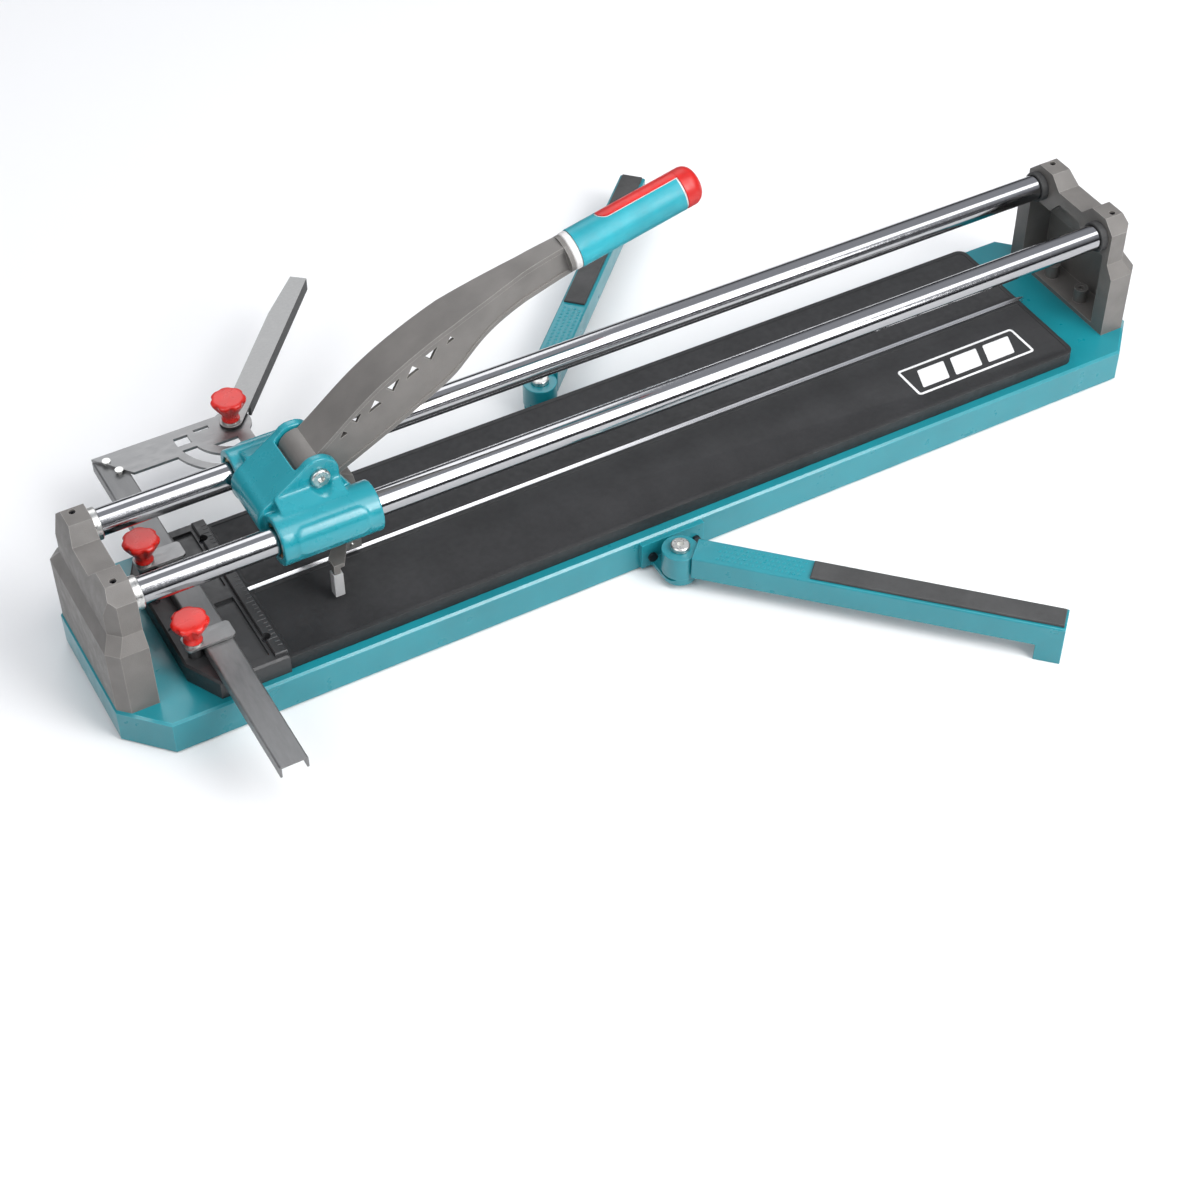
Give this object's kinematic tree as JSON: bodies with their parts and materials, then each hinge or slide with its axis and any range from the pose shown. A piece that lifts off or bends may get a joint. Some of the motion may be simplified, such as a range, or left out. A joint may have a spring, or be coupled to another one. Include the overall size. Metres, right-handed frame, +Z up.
{
  "type": "manual tile cutter",
  "caption": "Manual tile cutter: folded base with rubber pads, a sliding carriage with a scoring and snapping lever, a side stop with mitre fence and fold-out side supports.",
  "frame": {"origin": "on the floor below the middle of the base", "axes": "+X along the rails away from the ruler end, +Y across to the mitre fence side, +Z up"},
  "size_m": [1.08, 0.7842, 0.3443],
  "materials": {
    "teal_paint": "gloss powder coat",
    "rubber_black": "matt",
    "ridge_steel": "brushed",
    "grey_cast": "fine textured paint over a casting",
    "zinc_steel": "zinc plated",
    "chrome_rail": "hard chrome, ground",
    "black_plastic": "moulded",
    "stop_aluminium": "satin",
    "plate_steel": "brushed",
    "red_plastic": "gloss",
    "bronze_bush": "machined",
    "white_plastic": "satin",
    "teal_grip": "satin",
    "red_grip": "satin",
    "black_oxide": "black oxide",
    "carbide": "ground"
  },
  "bodies": {
    "base": {"base_pan": "teal_paint", "base_feet": "rubber_black", "front_pad": "rubber_black", "rear_pad": "rubber_black", "breaking_ridge": "ridge_steel", "right_end_casting": "grey_cast", "left_end_casting": "grey_cast", "casting_bolts": "zinc_steel", "front_rail": "chrome_rail", "rear_rail": "chrome_rail", "rail_buffers": "rubber_black", "rail_collars": "zinc_steel", "rail_clamp_screws": "black_oxide", "ruler_base": "black_plastic", "ruler_screws": "black_oxide", "stop_clamp_plates": "plate_steel", "front_arm_bracket": "teal_paint", "rear_arm_bracket": "teal_paint", "bracket_screws": "black_oxide", "front_arm_bolt": "zinc_steel", "rear_arm_bolt": "zinc_steel"},
    "side_stop": {"stop_bar": "stop_aluminium", "mitre_plate": "plate_steel", "mitre_plate_screws": "zinc_steel"},
    "mitre_fence": {"mitre_bar": "stop_aluminium"},
    "mitre_clamp_knob": {"mitre_knob": "red_plastic", "mitre_stud": "zinc_steel"},
    "front_clamp_knob": {"front_stop_knob": "red_plastic", "front_stop_stud": "zinc_steel"},
    "rear_clamp_knob": {"rear_stop_knob": "red_plastic", "rear_stop_stud": "zinc_steel"},
    "carriage": {"carriage_casting": "teal_paint", "front_bushes": "bronze_bush", "rear_bushes": "bronze_bush", "lever_pivot_pin": "zinc_steel", "lever_pivot_nut": "zinc_steel"},
    "lever": {"lever_arm": "grey_cast", "lever_core": "zinc_steel", "lever_collar": "white_plastic", "grip_body": "white_plastic", "grip_sleeve": "teal_grip", "grip_strip": "red_grip", "grip_cap": "red_grip", "wheel_holder": "zinc_steel", "wheel_holder_screw": "black_oxide", "wheel_axle": "zinc_steel", "breaker_pin": "zinc_steel"},
    "wheel": {"cutting_wheel": "carbide"},
    "breaker": {"breaker_foot": "grey_cast", "breaker_pads": "white_plastic"},
    "front_support_arm": {"front_arm": "teal_paint", "front_arm_strip": "rubber_black"},
    "rear_support_arm": {"rear_arm": "teal_paint", "rear_arm_strip": "rubber_black"}
  },
  "joints": [
    {"name": "carriage_slide", "type": "slide", "parent": "base", "child": "carriage", "axis": [1, 0, 0], "range_m": [-0.04, 0.74]},
    {"name": "lever_hinge", "type": "hinge", "parent": "carriage", "child": "lever", "pos_m": [-0.32, 0, 0.178], "axis": [0, -1, 0], "range_deg": [0, 30]},
    {"name": "wheel_spin", "type": "hinge", "parent": "lever", "child": "wheel", "pos_m": [-0.288, 0, 0.0625], "axis": [0, 1, 0], "continuous": true},
    {"name": "breaker_hinge", "type": "hinge", "parent": "lever", "child": "breaker", "pos_m": [-0.297, 0, 0.092], "axis": [0, -1, 0], "range_deg": [-20, 4]},
    {"name": "side_stop_slide", "type": "slide", "parent": "base", "child": "side_stop", "axis": [0, 1, 0], "range_m": [-0.02, 0.1]},
    {"name": "mitre_hinge", "type": "hinge", "parent": "side_stop", "child": "mitre_fence", "pos_m": [-0.32, 0.19, 0.0733], "axis": [0, 0, 1], "range_deg": [-50, 70]},
    {"name": "mitre_knob_turn", "type": "hinge", "parent": "side_stop", "child": "mitre_clamp_knob", "pos_m": [-0.32, 0.19, 0.09], "axis": [0, 0, 1], "continuous": true},
    {"name": "front_knob_turn", "type": "hinge", "parent": "base", "child": "front_clamp_knob", "pos_m": [-0.46, -0.056, 0.085], "axis": [0, 0, 1], "continuous": true},
    {"name": "rear_knob_turn", "type": "hinge", "parent": "base", "child": "rear_clamp_knob", "pos_m": [-0.46, 0.056, 0.085], "axis": [0, 0, 1], "continuous": true},
    {"name": "front_arm_hinge", "type": "hinge", "parent": "base", "child": "front_support_arm", "pos_m": [-0.022, -0.134, 0.03], "axis": [0, 0, 1], "range_deg": [-45, 45]},
    {"name": "rear_arm_hinge", "type": "hinge", "parent": "base", "child": "rear_support_arm", "pos_m": [-0.022, 0.134, 0.03], "axis": [0, 0, 1], "range_deg": [-45, 45]}
  ]
}
